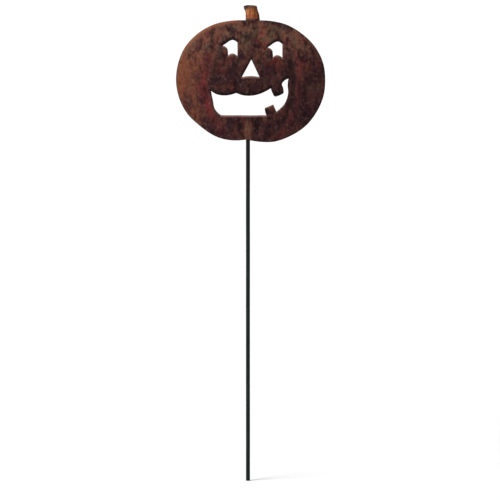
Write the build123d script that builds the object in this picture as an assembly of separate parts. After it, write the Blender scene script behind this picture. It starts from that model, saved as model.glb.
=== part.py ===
from build123d import *

import math
import os

# A jack-o'-lantern garden stake: a pressed sheet-steel face and its rolled stem, welded to one long round bar.
#
# All sizes are in millimetres. The origin is on the bar's axis at the ground line, +Z points up the bar, the
# face looks along -Y, and +X is to the right of someone who looks at the face.

# ---- the bar ----
BAR_DIAMETER = 7.94
BURIED_LENGTH = 185.0  # from the tip up to the ground line
CHIN_HEIGHT = 477.0  # from the ground line up to the notch in the chin
FOOT_BEVEL = 1.2  # how far the bevel round the cut lower end runs up the bar
FOOT_DIAMETER = 6.2  # across the cut lower end, inside its bevel
CHIN_LAP = 42.0  # how far the bar runs up behind the chin
LAP_CHAMFER = 0.6  # around the bar's upper end
BEND_DROP = 5.0  # the slight bend lies this far below the chin's notch
BEND_RADIUS = 40.0

# ---- the sheet face ----
SHEET = 1.9
FACE_WIDTH = 286.0
FACE_HEIGHT = 234.0
FACE_SHIFT = 5.3  # the face's middle stands this far to the right of the bar
SIDE_SWEEP = 20.0  # how far the left and right rims stand behind the middle
END_SWEEP = 7.0  # how far the top and bottom rims stand behind the middle
CREASE_DEPTH = 3.0
CREASE_WIDTH = 13.0
CREASE_PLACES = (-0.585, -0.18, 0.17, 0.585)  # at mid-height, in half-widths from the middle
POLE_REACH = 1.02  # the creases run together this far above and below the middle, in half-heights
BLANK_RIM = 8.0  # the pressed blank reaches this far past the outline before it is trimmed
CURVE_STEP = 6.0  # spacing of the points along each level's curve
LEVEL_STEP = 8.0  # spacing of the levels that the pressed sheet is lofted through

# ---- the openings in the face, placed from the face's middle ----
EYE_WIDTH = 28.0
EYE_HEIGHT = 31.5
EYE_SPACING = 86.0
EYE_PAIR_SHIFT = 3.6  # the pair's middle, to the right of the face's middle
EYE_RISE = 46.6  # the pair's lower edge, above the face's middle
EYE_DROP = 3.3  # the right eye sits this much lower than the left
NOSE_WIDTH = 33.5
NOSE_HEIGHT = 33.5
NOSE_RISE = 9.0
MOUTH_WIDTH = 148.2
MOUTH_HEIGHT = 70.3
MOUTH_SHIFT = -1.9
MOUTH_RISE = -65.0
TOOTH_CURL = 5.0  # how far the lower tooth's top leans forward
TOOTH_PLACE = 0.51  # the lower tooth's middle, in half mouth widths right of the mouth's middle
TOOTH_SPREAD = 0.30  # the leaning zone's width, in half mouth widths each side of the tooth's middle
TOOTH_SHARE = 0.32  # how high the lean reaches its full amount, in mouth heights

# ---- the rolled stem ----
STEM_HEIGHT = 27.5  # above the face's top edge
STEM_LAP = 14.0  # behind the face
STEM_WALL = 1.5
STEM_SEAM = 1.6  # the gap that the rolled tube leaves open at the back
STEM_SHIFT = 4.0  # the stem's foot, to the right of the face's middle
STEM_FOOT_RADIUS = 13.5
STEM_WAIST = 0.911  # the stem's narrowest radius, in foot radii
STEM_LIP = 0.978  # the mouth's radius, in foot radii
STEM_LEAN = 4.6  # how far the mouth of the stem leans to the left

# ---- the weld beads and fits ----
CHIN_BEAD_RADIUS = 3.2
CHIN_BEAD_LENGTH = 30.0
STEM_BEAD_RADIUS = 2.4
STEM_BEAD_LENGTH = 8.0
STEM_BEAD_PLACE = 0.62  # how far each stem bead lies from the stem's middle, in foot radii
STEM_BEAD_DROP = 1.0  # below the face's top edge
CONTACT_SHARE = 0.9  # the part of a round piece's radius that is tried for contact with the sheet
SEAT_GAP = 0.05  # between pieces that are welded face to face

BAR_RADIUS = BAR_DIAMETER / 2
HALF_WIDTH = FACE_WIDTH / 2
HALF_HEIGHT = FACE_HEIGHT / 2

# The pumpkin's outline in half-widths and half-heights from the face's middle. Both halves start at the chin's
# notch and end at the top, left side and then right side as the viewer sees them.
CHIN_NOTCH = (-0.06, -0.957)
CROWN = (0.02, 1.0)
LEFT_RIM = [
    (-0.20, -0.972),
    (-0.42, -0.93),
    (-0.70, -0.718),
    (-0.865, -0.515),
    (-0.968, -0.25),
    (-1.0, -0.03),
    (-0.974, 0.28),
    (-0.871, 0.572),
    (-0.722, 0.769),
    (-0.50, 0.93),
    (-0.27, 0.996),
]
RIGHT_RIM = [
    (0.17, -0.998),
    (0.30, -0.995),
    (0.50, -0.92),
    (0.76, -0.712),
    (0.883, -0.515),
    (0.977, -0.25),
    (1.0, 0.02),
    (0.972, 0.29),
    (0.856, 0.572),
    (0.697, 0.769),
    (0.48, 0.93),
    (0.25, 0.996),
]

FACE_Z = CHIN_HEIGHT - CHIN_NOTCH[1] * HALF_HEIGHT


def pole_fade(z):
    """1 at the face's mid-height, falling to 0 at the poles where the creases run together."""
    return math.sqrt(max(1.0 - (z / (HALF_HEIGHT * POLE_REACH)) ** 2, 0.0))


def crease_relief(x, z):
    """How far the creases push the sheet back at x, z from the face's middle."""
    fade = pole_fade(z)
    relief = 0.0
    for place in CREASE_PLACES:
        off = (x - place * HALF_WIDTH * fade) / (CREASE_WIDTH / 2)
        relief += 1.0 / (1.0 + off**2) ** 1.5
    return CREASE_DEPTH * fade * relief


TOOTH_MIDDLE = MOUTH_SHIFT + TOOTH_PLACE * MOUTH_WIDTH / 2
TOOTH_HALF_WIDTH = TOOTH_SPREAD * MOUTH_WIDTH / 2
TOOTH_HEIGHT = TOOTH_SHARE * MOUTH_HEIGHT


def tooth_curl(x, z):
    """How far the lower tooth leans forward. It fades out over the open part of the mouth around the tooth."""
    across = min(abs(x - TOOTH_MIDDLE) / TOOTH_HALF_WIDTH, 1.0)
    up = (z - MOUTH_RISE) / TOOTH_HEIGHT
    if not 0.0 < up < 2.0:
        return 0.0
    return TOOTH_CURL * math.cos(across * math.pi / 2) ** 2 * math.sin(up * math.pi / 2) ** 2


def front_depth(x, z):
    """How far the sheet's front stands behind its foremost level at x, z from the face's middle."""
    dish = SIDE_SWEEP * (x / HALF_WIDTH) ** 2 + END_SWEEP * (z / HALF_HEIGHT) ** 2
    return dish + crease_relief(x, z) - tooth_curl(x, z)


def steps(low, high, step):
    """Evenly spaced values from low to high, about a step apart."""
    count = math.ceil((high - low) / step)
    return [low + (high - low) * i / count for i in range(count + 1)]


# ---- where the face stands: its back rests on the lapped end of the bar ----
lap_middle = CHIN_HEIGHT + CHIN_LAP / 2 - FACE_Z
lap_rise = front_depth(-FACE_SHIFT, lap_middle + 5.0) - front_depth(-FACE_SHIFT, lap_middle - 5.0)
LAP_ANGLE = -math.atan(lap_rise / 10.0)
BEND_Z = CHIN_HEIGHT - BEND_DROP


def bar_front(x, z):
    """The front of the lapped bar, in Y, at x from its axis and z above the ground line."""
    return -(z - BEND_Z) * math.tan(LAP_ANGLE) - math.sqrt(BAR_RADIUS**2 - x**2) / math.cos(LAP_ANGLE)


FACE_Y = min(
    bar_front(x, z) - SEAT_GAP - SHEET - front_depth(x - FACE_SHIFT, z - FACE_Z)
    for x in steps(-CONTACT_SHARE * BAR_RADIUS, CONTACT_SHARE * BAR_RADIUS, 0.5)
    for z in steps(CHIN_HEIGHT - 2.0, CHIN_HEIGHT + CHIN_LAP, 1.0)
)


def face_point(x, z):
    """The point of the sheet's front at x, z from the face's middle."""
    return Vector(FACE_SHIFT + x, FACE_Y + front_depth(x, z), FACE_Z + z)


def back_y(x, z):
    """The back of the sheet, in Y, at x and z in the object's own frame."""
    return FACE_Y + front_depth(x - FACE_SHIFT, z - FACE_Z) + SHEET


# ---- the outlines that are cut through the sheet ----
CUT_DEPTH = 200.0
FACE_PLANE = Plane(origin=(FACE_SHIFT, 0, FACE_Z), x_dir=(1, 0, 0), z_dir=(0, -1, 0))


def through(edges):
    """A prism through the sheet, from a closed run of edges drawn on the face's plane."""
    outline = FACE_PLANE * make_face(edges)
    return extrude(outline, amount=CUT_DEPTH, both=True)


def placed(points, width, height, x, z):
    """Points given in shares of a width and height, as points around x, z on the face's plane."""
    return [(x + px * width, z + pz * height) for px, pz in points]


def pumpkin_outline():
    halves = []
    for rim in (LEFT_RIM, RIGHT_RIM):
        points = placed([CHIN_NOTCH, *rim, CROWN], HALF_WIDTH, HALF_HEIGHT, 0, 0)
        tangents = ((points[1][0] - points[0][0], points[1][1] - points[0][1]), (-points[1][0], 0))
        halves.append(Spline(*points, tangents=tangents))
    return through(halves)


def eye(right_edge, lower_edge):
    """One eye: a tall slot whose top runs out to a spike on the left, with an arched lower edge."""
    spike, brow, crown, shoulder, heel, arch, toe, waist, armpit = placed(
        [
            (-1.0, 0.66),
            (-0.78, 0.79),
            (-0.27, 1.0),
            (0.0, 0.85),
            (0.0, 0.03),
            (-0.38, 0.19),
            (-0.63, 0.06),
            (-0.66, 0.42),
            (-0.80, 0.58),
        ],
        EYE_WIDTH,
        EYE_HEIGHT,
        right_edge,
        lower_edge,
    )
    return through(
        [
            Line(spike, brow),
            Spline(brow, crown, shoulder),
            Line(shoulder, heel),
            ThreePointArc(heel, arch, toe),
            Line(toe, waist),
            Spline(waist, armpit, spike),
        ]
    )


def nose():
    left, arch, right, tip = placed(
        [(-0.5, 0.0), (0.0, 0.06), (0.5, 0.0), (0.04, 1.0)], NOSE_WIDTH, NOSE_HEIGHT, 0, NOSE_RISE
    )
    return through([ThreePointArc(left, arch, right), Line(right, tip), Line(tip, left)])


def mouth():
    """The smile, run clockwise from its left corner. Its upper and lower teeth are left standing in it."""
    runs = [
        # the upper lip, in two swags that meet at a small notch
        (Spline, [(-1.0, 0.66), (-0.87, 0.58), (-0.61, 0.545), (-0.35, 0.61)]),
        (Spline, [(-0.35, 0.61), (-0.19, 0.555), (0.08, 0.545), (0.35, 0.625), (0.545, 0.74)]),
        # the upper tooth
        (Spline, [(0.545, 0.74), (0.585, 0.62), (0.64, 0.525), (0.76, 0.54), (0.88, 0.61)]),
        # up beside the tooth to the tip of the smile, and down the right cheek
        (Spline, [(0.88, 0.61), (0.87, 0.74), (0.835, 0.86), (0.89, 0.94), (1.0, 1.0)]),
        (Spline, [(1.0, 1.0), (0.98, 0.81), (0.995, 0.65), (0.91, 0.33), (0.69, 0.10)]),
        # the lower tooth, wider at its top than at its foot
        (Line, [(0.69, 0.10), (0.61, 0.31)]),
        (Line, [(0.61, 0.31), (0.39, 0.21)]),
        (Spline, [(0.39, 0.21), (0.395, 0.12), (0.43, 0.0)]),
        # the lower lip and the left cheek
        (Line, [(0.43, 0.0), (-0.74, 0.0)]),
        (Spline, [(-0.74, 0.0), (-0.895, 0.16), (-0.95, 0.40), (-1.0, 0.66)]),
    ]
    edges = []
    for curve, points in runs:
        edges.append(curve(*placed(points, MOUTH_WIDTH / 2, MOUTH_HEIGHT, MOUTH_SHIFT, MOUTH_RISE)))
    return through(edges)


# ---- the pieces ----
def sheet_section(z):
    """The sheet's closed section at one level: its front curve, its back curve and the two ends between them."""
    front = [face_point(x, z) for x in steps(-HALF_WIDTH - BLANK_RIM, HALF_WIDTH + BLANK_RIM, CURVE_STEP)]
    back = [point + Vector(0, SHEET, 0) for point in reversed(front)]
    ends = [Edge.make_line(front[-1], back[0]), Edge.make_line(back[-1], front[0])]
    return Wire([Edge.make_spline(front), ends[0], Edge.make_spline(back), ends[1]])


def pumpkin_face():
    levels = steps(-HALF_HEIGHT - BLANK_RIM, HALF_HEIGHT + BLANK_RIM, LEVEL_STEP)
    sheet = Solid.make_loft([sheet_section(z) for z in levels]) & pumpkin_outline()
    pair_edge = EYE_PAIR_SHIFT + EYE_WIDTH / 2
    openings = [
        eye(pair_edge - EYE_SPACING / 2, EYE_RISE + EYE_DROP / 2),
        eye(pair_edge + EYE_SPACING / 2, EYE_RISE - EYE_DROP / 2),
        nose(),
        mouth(),
    ]
    for opening in openings:
        sheet = sheet - opening
    return sheet


def lap_point(along, back=0.0, side=0.0):
    """A point by the lapped end of the bar: along it from the bend, behind its axis, and to its side."""
    y = -along * math.sin(LAP_ANGLE) + back * math.cos(LAP_ANGLE)
    z = BEND_Z + along * math.cos(LAP_ANGLE) + back * math.sin(LAP_ANGLE)
    return Vector(side, y, z)


LAP_END = (BEND_DROP + CHIN_LAP) / math.cos(LAP_ANGLE)


SHANK_FOOT = -BURIED_LENGTH + FOOT_BEVEL
BEND_TANGENT = BEND_RADIUS * math.tan(LAP_ANGLE / 2)
SHANK_TOP = BEND_Z - BEND_TANGENT


def stake_bar():
    shank_top = Vector(0, 0, SHANK_TOP)
    bend_end = lap_point(BEND_TANGENT)
    shank = extrude(Plane.XY.offset(SHANK_FOOT) * Circle(BAR_RADIUS), amount=SHANK_TOP - SHANK_FOOT)
    bend = sweep(
        Plane(shank_top, x_dir=(1, 0, 0), z_dir=(0, 0, 1)) * Circle(BAR_RADIUS),
        path=TangentArc(shank_top, bend_end, tangent=(0, 0, 1)),
    )
    lap_plane = Plane(bend_end, x_dir=(1, 0, 0), z_dir=lap_point(1) - lap_point(0))
    lap = extrude(lap_plane * Circle(BAR_RADIUS), amount=LAP_END - BEND_TANGENT)
    lap = chamfer(lap.faces().sort_by(Axis.Z)[-1].edges(), LAP_CHAMFER)
    foot = Pos(0, 0, SHANK_FOOT - FOOT_BEVEL / 2) * Cone(FOOT_DIAMETER / 2, BAR_RADIUS, FOOT_BEVEL)
    return foot + shank + bend + lap


STEM_FOOT_Z = FACE_Z + CROWN[1] * HALF_HEIGHT - STEM_LAP
STEM_X = FACE_SHIFT + STEM_SHIFT
# The tube stands straight up behind the face, so the face's top edge is what it touches.
STEM_Y = max(
    back_y(STEM_X + x, z) + math.sqrt(STEM_FOOT_RADIUS**2 - x**2) + SEAT_GAP
    for x in steps(-CONTACT_SHARE * STEM_FOOT_RADIUS, CONTACT_SHARE * STEM_FOOT_RADIUS, 0.5)
    for z in steps(STEM_FOOT_Z, STEM_FOOT_Z + STEM_LAP, 1.0)
)


def stem_body(shrink):
    """The stem's outer form, made smaller all round by shrink."""
    sections = [
        (0.0, 0.0, STEM_FOOT_RADIUS),
        (STEM_LAP, 0.0, STEM_FOOT_RADIUS),
        (STEM_LAP + 0.55 * STEM_HEIGHT, -0.2 * STEM_LEAN, STEM_WAIST * STEM_FOOT_RADIUS),
        (STEM_LAP + 0.8 * STEM_HEIGHT, -0.7 * STEM_LEAN, STEM_WAIST * STEM_FOOT_RADIUS),
        (STEM_LAP + STEM_HEIGHT, -STEM_LEAN, STEM_LIP * STEM_FOOT_RADIUS),
    ]
    rings = [
        Pos(STEM_X + lean, STEM_Y, STEM_FOOT_Z + height) * Circle(radius - shrink)
        for height, lean, radius in sections
    ]
    return loft(rings)


def pumpkin_stem():
    seam = Pos(STEM_X, STEM_Y + STEM_FOOT_RADIUS, STEM_FOOT_Z + STEM_LAP) * Box(
        STEM_SEAM, STEM_FOOT_RADIUS, 4 * (STEM_LAP + STEM_HEIGHT)
    )
    return stem_body(0.0) - stem_body(STEM_WALL) - seam


def bead(start, end, radius):
    """The round-ended run of weld metal from start to end, before the pieces that it joins are taken away."""
    axis = end - start
    run = extrude(Plane(start, z_dir=axis) * Circle(radius), amount=axis.length)
    return run + Pos(*start) * Sphere(radius) + Pos(*end) * Sphere(radius)


def chin_weld(side, bar, face):
    """One bead up the corner between the bar and the back of the chin. side is -1 for left, 1 for right."""
    low = BEND_DROP + (CHIN_LAP - CHIN_BEAD_LENGTH) / 2
    places = [
        lap_point(along, -BAR_RADIUS + 0.6 * CHIN_BEAD_RADIUS, side * (BAR_RADIUS + 0.2 * CHIN_BEAD_RADIUS))
        for along in (low, low + CHIN_BEAD_LENGTH)
    ]
    return bead(*places, CHIN_BEAD_RADIUS) - face - bar


def stem_weld(side, face):
    """One bead in the corner between the stem and the back of the face, just under the face's top edge."""
    x = STEM_X + side * STEM_BEAD_PLACE * STEM_FOOT_RADIUS
    top = STEM_FOOT_Z + STEM_LAP - STEM_BEAD_RADIUS - STEM_BEAD_DROP
    places = [
        Vector(x, back_y(x, z) + 0.5 * STEM_BEAD_RADIUS, z) for z in (top - STEM_BEAD_LENGTH, top)
    ]
    return bead(*places, STEM_BEAD_RADIUS) - face - stem_body(0.0)


face = pumpkin_face()
stem = pumpkin_stem()
bar = stake_bar()

pieces = {
    "pumpkin_face": face,
    "pumpkin_stem": stem,
    "stake_bar": bar,
    "chin_weld_left": chin_weld(-1, bar, face),
    "chin_weld_right": chin_weld(1, bar, face),
    "stem_weld_left": stem_weld(-1, face),
    "stem_weld_right": stem_weld(1, face),
}

os.makedirs("parts", exist_ok=True)
for name, piece in pieces.items():
    export_step(piece, f"parts/{name}.step")
    print(name, "volume", round(piece.volume, 1), "solids", len(piece.solids()))
print("straight shank from", round(SHANK_FOOT, 3), "to", round(SHANK_TOP, 3))
print("lap angle", round(math.degrees(LAP_ANGLE), 2), "face y", round(FACE_Y, 3), "stem y", round(STEM_Y, 3))
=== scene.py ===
# %% [markdown]
# # A jack-o'-lantern garden stake
# A garden stake is three pieces of steel and a little weld metal: a pressed sheet with a face cut through
# it, a stem rolled from a strip, and a long round bar that goes into the soil. The CAD model fixes where
# every piece stands and how large it is. This lesson gives each piece the surface that the real one has,
# in the same place. Lengths are metres, +Z points up the bar and the face looks along -Y.
# %% Load the fixed frame
import math

import bmesh
import bpy
import numpy as np
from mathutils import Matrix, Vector, geometry, kdtree, noise


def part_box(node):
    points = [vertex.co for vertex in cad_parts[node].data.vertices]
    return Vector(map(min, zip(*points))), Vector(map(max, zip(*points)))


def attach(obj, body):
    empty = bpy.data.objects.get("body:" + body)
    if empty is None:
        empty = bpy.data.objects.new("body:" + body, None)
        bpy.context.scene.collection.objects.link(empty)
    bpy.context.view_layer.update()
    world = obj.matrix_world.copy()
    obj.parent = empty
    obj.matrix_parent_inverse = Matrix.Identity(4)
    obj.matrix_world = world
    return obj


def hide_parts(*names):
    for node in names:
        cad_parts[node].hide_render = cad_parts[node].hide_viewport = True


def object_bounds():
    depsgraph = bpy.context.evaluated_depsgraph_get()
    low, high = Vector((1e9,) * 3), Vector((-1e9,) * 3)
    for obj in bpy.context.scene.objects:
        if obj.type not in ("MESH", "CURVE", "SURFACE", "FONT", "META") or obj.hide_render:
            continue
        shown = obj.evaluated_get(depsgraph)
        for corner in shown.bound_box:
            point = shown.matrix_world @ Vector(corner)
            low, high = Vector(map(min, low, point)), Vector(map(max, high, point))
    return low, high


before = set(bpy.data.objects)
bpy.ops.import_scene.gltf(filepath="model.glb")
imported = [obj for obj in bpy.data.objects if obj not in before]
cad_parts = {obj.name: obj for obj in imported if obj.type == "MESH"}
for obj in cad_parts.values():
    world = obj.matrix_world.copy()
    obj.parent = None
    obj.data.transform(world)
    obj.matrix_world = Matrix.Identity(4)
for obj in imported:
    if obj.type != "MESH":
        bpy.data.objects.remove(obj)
cad_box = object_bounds()
MM = 0.001
for node in sorted(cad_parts):
    low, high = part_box(node)
    print(f"{node:16s} from {[round(v / MM, 1) for v in low]} to {[round(v / MM, 1) for v in high]} mm")

# %% [markdown]
# ## Measuring the frame
# A stake is made by eye around its bar, so the bar's axis is the line that everything is measured from. The
# boxes of the CAD nodes give the middle of the face, its width and height, and the ends of the bar. One ray
# sent at the sheet between the eyes tells how far forward it stands there.
# %% The sheet's place and size
face_low, face_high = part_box("pumpkin_face")
FACE_X = (face_low.x + face_high.x) / 2
FACE_Z = (face_low.z + face_high.z) / 2
HALF_WIDTH = (face_high.x - face_low.x) / 2
HALF_HEIGHT = (face_high.z - face_low.z) / 2


def first_hit(node, start, direction):
    """Where a ray first meets a CAD node."""
    found, place, _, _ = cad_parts[node].ray_cast(Vector(start), Vector(direction))
    assert found, f"the ray misses {node}"
    return place


SHEET = 1.9 * MM
brow = first_hit("pumpkin_face", (FACE_X, -1, FACE_Z), (0, 1, 0))
print("middle of the face", [round(v / MM, 2) for v in brow], "half sizes", HALF_WIDTH, HALF_HEIGHT)

# %% [markdown]
# ## The form of the pressed sheet
# A pumpkin's lobes come from four creases that run together above and below the face, and the whole
# sheet is dished, so that its rim stands further back than its middle. It could be sculpted, but a formula
# for the depth at any point is easier to keep true to the CAD model: a dish, plus a narrow groove along
# each crease, minus the forward lean of the lower tooth.
# %% The depth of the sheet
SIDE_SWEEP, END_SWEEP = 20 * MM, 7 * MM
CREASE_DEPTH, CREASE_WIDTH = 3 * MM, 13 * MM
CREASE_PLACES = (-0.585, -0.18, 0.17, 0.585)
POLE_REACH = 1.02
MOUTH_WIDTH, MOUTH_HEIGHT = 148.2 * MM, 70.3 * MM
MOUTH_X, MOUTH_Z = -1.9 * MM, -65 * MM
TOOTH_X, TOOTH_HALF_WIDTH = MOUTH_X + 0.255 * MOUTH_WIDTH, 0.15 * MOUTH_WIDTH
TOOTH_HEIGHT, TOOTH_CURL = 0.32 * MOUTH_HEIGHT, 5 * MM


def crease_offsets(x, z):
    """The fade towards the poles, and how far outside each crease x, z lies, in half crease widths."""
    fade = math.sqrt(max(1 - (z / (HALF_HEIGHT * POLE_REACH)) ** 2, 0))
    side = [math.copysign(1, place) for place in CREASE_PLACES]
    return fade, [
        s * (x - place * HALF_WIDTH * fade) / (CREASE_WIDTH / 2) for s, place in zip(side, CREASE_PLACES)
    ]


def crease_share(x, z):
    fade, offsets = crease_offsets(x, z)
    return fade * sum(1 / (1 + off**2) ** 1.5 for off in offsets)


def tooth_lean(x, z):
    """0 away from the lower tooth, 1 at its top."""
    across = min(abs(x - TOOTH_X) / TOOTH_HALF_WIDTH, 1)
    up = (z - MOUTH_Z) / TOOTH_HEIGHT
    if not 0 < up < 2:
        return 0
    return math.cos(across * math.pi / 2) ** 2 * math.sin(up * math.pi / 2) ** 2


def sheet_depth(x, z):
    """How far the sheet's front stands behind its foremost level, at x, z from the face's middle."""
    dish = SIDE_SWEEP * (x / HALF_WIDTH) ** 2 + END_SWEEP * (z / HALF_HEIGHT) ** 2
    return dish + CREASE_DEPTH * crease_share(x, z) - TOOTH_CURL * tooth_lean(x, z)


FACE_Y = brow.y - sheet_depth(0, 0)
print("the sheet's foremost level stands at y", round(FACE_Y / MM, 2), "mm")

# %% [markdown]
# ## The cut lines
# The face was cut out with a torch or a laser along smooth curves and short straight cuts. A cut line is
# kept here as runs of points: a smooth run passes through its points, and a run of two points is straight.
# The smooth runs are filled with more points by a Hermite curve, whose slope at each point is the average
# of the two chords beside it.
# %% Smooth runs of points
POINT_GAP = 1.4 * MM


def smooth_run(points):
    """Points about POINT_GAP apart along a smooth curve through the given points, without the last one."""
    points = [np.array(p, float) for p in points]
    chords = [b - a for a, b in zip(points, points[1:])]
    lengths = [float(np.linalg.norm(c)) for c in chords]
    slopes = [c / n for c, n in zip(chords, lengths)]
    tangents = [
        (s0 * n1 + s1 * n0) / (n0 + n1) for s0, s1, n0, n1 in zip(slopes, slopes[1:], lengths, lengths[1:])
    ]
    if tangents:
        tangents = [1.5 * slopes[0] - 0.5 * tangents[0], *tangents, 1.5 * slopes[-1] - 0.5 * tangents[-1]]
    else:
        tangents = [slopes[0], slopes[0]]
    line = []
    for p0, p1, m0, m1, length in zip(points, points[1:], tangents, tangents[1:], lengths):
        count = max(math.ceil(length / POINT_GAP), 1)
        for t in np.arange(count) / count:
            line.append(
                (2 * t**3 - 3 * t**2 + 1) * p0 + (t**3 - 2 * t**2 + t) * length * m0
                + (3 * t**2 - 2 * t**3) * p1 + (t**3 - t**2) * length * m1
            )
    return line


def cut_line(runs, width, height, x, z):
    """A closed line from runs whose points are shares of a width and a height, around x, z."""
    line = []
    for run in runs:
        line += smooth_run([(x + px * width, z + pz * height) for px, pz in run])
    line = np.array(line)
    following = np.roll(line, -1, axis=0)
    area = np.sum(line[:, 0] * following[:, 1] - following[:, 0] * line[:, 1]) / 2
    return line if area > 0 else line[::-1]


# %% The outline of the pumpkin
NOTCH, CROWN = (-0.06, -0.957), (0.02, 1.0)
left_rim = [
    NOTCH, (-0.20, -0.972), (-0.42, -0.93), (-0.70, -0.718), (-0.865, -0.515), (-0.968, -0.25),
    (-1.0, -0.03), (-0.974, 0.28), (-0.871, 0.572), (-0.722, 0.769), (-0.50, 0.93), (-0.27, 0.996), CROWN,
]
right_rim = [
    CROWN, (0.25, 0.996), (0.48, 0.93), (0.697, 0.769), (0.856, 0.572), (0.972, 0.29), (1.0, 0.02),
    (0.977, -0.25), (0.883, -0.515), (0.76, -0.712), (0.50, -0.92), (0.30, -0.995), (0.17, -0.998), NOTCH,
]
outline = cut_line([left_rim, right_rim], HALF_WIDTH, HALF_HEIGHT, 0, 0)
print("outline", len(outline), "points")

# %% The eyes, the nose and the mouth
eye_runs = [
    [(-1.0, 0.66), (-0.78, 0.79)],
    [(-0.78, 0.79), (-0.27, 1.0), (0.0, 0.85)],
    [(0.0, 0.85), (0.0, 0.03)],
    [(0.0, 0.03), (-0.20, 0.155), (-0.38, 0.19), (-0.52, 0.14), (-0.63, 0.06)],
    [(-0.63, 0.06), (-0.66, 0.42)],
    [(-0.66, 0.42), (-0.80, 0.58), (-1.0, 0.66)],
]
nose_runs = [[(-0.5, 0.0), (0.0, 0.06), (0.5, 0.0)], [(0.5, 0.0), (0.04, 1.0)], [(0.04, 1.0), (-0.5, 0.0)]]
mouth_runs = [
    [(-1.0, 0.66), (-0.87, 0.58), (-0.61, 0.545), (-0.35, 0.61)],
    [(-0.35, 0.61), (-0.19, 0.555), (0.08, 0.545), (0.35, 0.625), (0.545, 0.74)],
    [(0.545, 0.74), (0.585, 0.62), (0.64, 0.525), (0.76, 0.54), (0.88, 0.61)],
    [(0.88, 0.61), (0.87, 0.74), (0.835, 0.86), (0.89, 0.94), (1.0, 1.0)],
    [(1.0, 1.0), (0.98, 0.81), (0.995, 0.65), (0.91, 0.33), (0.69, 0.10)],
    [(0.69, 0.10), (0.61, 0.31)],
    [(0.61, 0.31), (0.39, 0.21)],
    [(0.39, 0.21), (0.395, 0.12), (0.43, 0.0)],
    [(0.43, 0.0), (-0.74, 0.0)],
    [(-0.74, 0.0), (-0.895, 0.16), (-0.95, 0.40), (-1.0, 0.66)],
]
EYE = (28 * MM, 31.5 * MM)
openings = [
    cut_line(eye_runs, *EYE, -25.4 * MM, 48.25 * MM),
    cut_line(eye_runs, *EYE, 60.6 * MM, 44.95 * MM),
    cut_line(nose_runs, 33.5 * MM, 33.5 * MM, 0, 9 * MM),
    cut_line(mouth_runs, MOUTH_WIDTH / 2, MOUTH_HEIGHT, MOUTH_X, MOUTH_Z),
]
print("openings", [len(line) for line in openings], "points")

# %% [markdown]
# ## Filling the sheet with points
# The sheet needs small even triangles, because the dents and the turned edges are real shape. A grid
# alone would leave a jagged rim, so the cut lines go in as fixed edges and a staggered grid fills the space
# between them. Delaunay triangulation joins both, and the triangles whose middle falls in an opening are
# dropped.
# %% Distances and insides
GRID_GAP = 2.0 * MM
EDGE_ROUND = 0.4 * MM
EDGE_ROOM = 0.7 * MM


def tree_of(lines):
    points = np.concatenate(lines)
    tree = kdtree.KDTree(len(points))
    for i, (x, z) in enumerate(points):
        tree.insert((x, z, 0), i)
    tree.balance()
    return tree


def inside(line, points):
    """Which points lie inside a closed line, by counting the edges that a ray to the right crosses."""
    x, z = points[:, 0], points[:, 1]
    odd = np.zeros(len(points), bool)
    for (ax, az), (bx, bz) in zip(line, np.roll(line, -1, axis=0)):
        if az != bz:
            odd ^= ((az > z) != (bz > z)) & (x < (bx - ax) * (z - az) / (bz - az) + ax)
    return odd


def drawn_in(line, amount):
    """A closed line moved to its left by amount. An anticlockwise line shrinks."""
    before, after = line - np.roll(line, 1, axis=0), np.roll(line, -1, axis=0) - line
    before /= np.linalg.norm(before, axis=1)[:, None]
    after /= np.linalg.norm(after, axis=1)[:, None]
    n0 = np.stack([-before[:, 1], before[:, 0]], 1)
    n1 = np.stack([-after[:, 1], after[:, 0]], 1)
    mitre = n0 + n1
    mitre /= np.maximum(np.sum(mitre * n1, axis=1), 0.35)[:, None]
    return line + amount * mitre


rim_tree, opening_tree = tree_of([outline]), tree_of(openings)

# %% The triangles of the sheet
cut_lines = [outline] + openings
inset_lines = [drawn_in(outline, EDGE_ROUND)] + [drawn_in(line, -EDGE_ROUND) for line in openings]
flat_points, fixed_edges, loops = [], [], []
for line in inset_lines:
    start = len(flat_points)
    flat_points += [Vector(p) for p in line]
    loops.append(list(range(start, len(flat_points))))
    fixed_edges += list(zip(loops[-1], loops[-1][1:] + loops[-1][:1]))
rows = np.arange(-HALF_HEIGHT, HALF_HEIGHT, GRID_GAP * math.sqrt(3) / 2)
columns = np.arange(-HALF_WIDTH, HALF_WIDTH, GRID_GAP)
grid = np.array([(x + (row % 2) * GRID_GAP / 2, z) for row, z in enumerate(rows) for x in columns])
grid = grid[inside(outline, grid) & ~np.any([inside(line, grid) for line in openings], axis=0)]
for x, z in grid:
    if min(rim_tree.find((x, z, 0))[2], opening_tree.find((x, z, 0))[2]) > EDGE_ROUND + EDGE_ROOM:
        flat_points.append(Vector((x, z)))
made = geometry.delaunay_2d_cdt(flat_points, fixed_edges, [], 0, 1e-7)
assert len(made[0]) == len(flat_points), "the cut lines cross each other"
sheet_points = np.array([tuple(p) for p in made[0]])
triangles = np.array(made[2])
middles = sheet_points[triangles].mean(axis=1)
in_opening = np.any([inside(line, middles) for line in inset_lines[1:]], axis=0)
triangles = triangles[inside(inset_lines[0], middles) & ~in_opening]
print(len(sheet_points), "points and", len(triangles), "triangles in one side of the sheet")

# %% [markdown]
# ## Dents, turned edges and the finished sheet
# A pressed and rusted sheet is never as smooth as its formula. Soft dents of a few tenths of a
# millimetre make the light wander over it, and the punch that opened the eyes and the mouth turned their
# edges back. Both are added to the depth of each point. The front and the back are the same triangles a
# sheet thickness apart, joined by a narrow wall with its corners taken off, so the mesh is closed.
# %% The surface in depth
ROLL_DEPTH, ROLL_WIDTH = 3.0 * MM, 6.0 * MM
RIM_DEPTH, RIM_WIDTH = 1.0 * MM, 4.0 * MM
WIDE_DENT, SMALL_DENT = 0.45 * MM, 0.12 * MM


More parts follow.
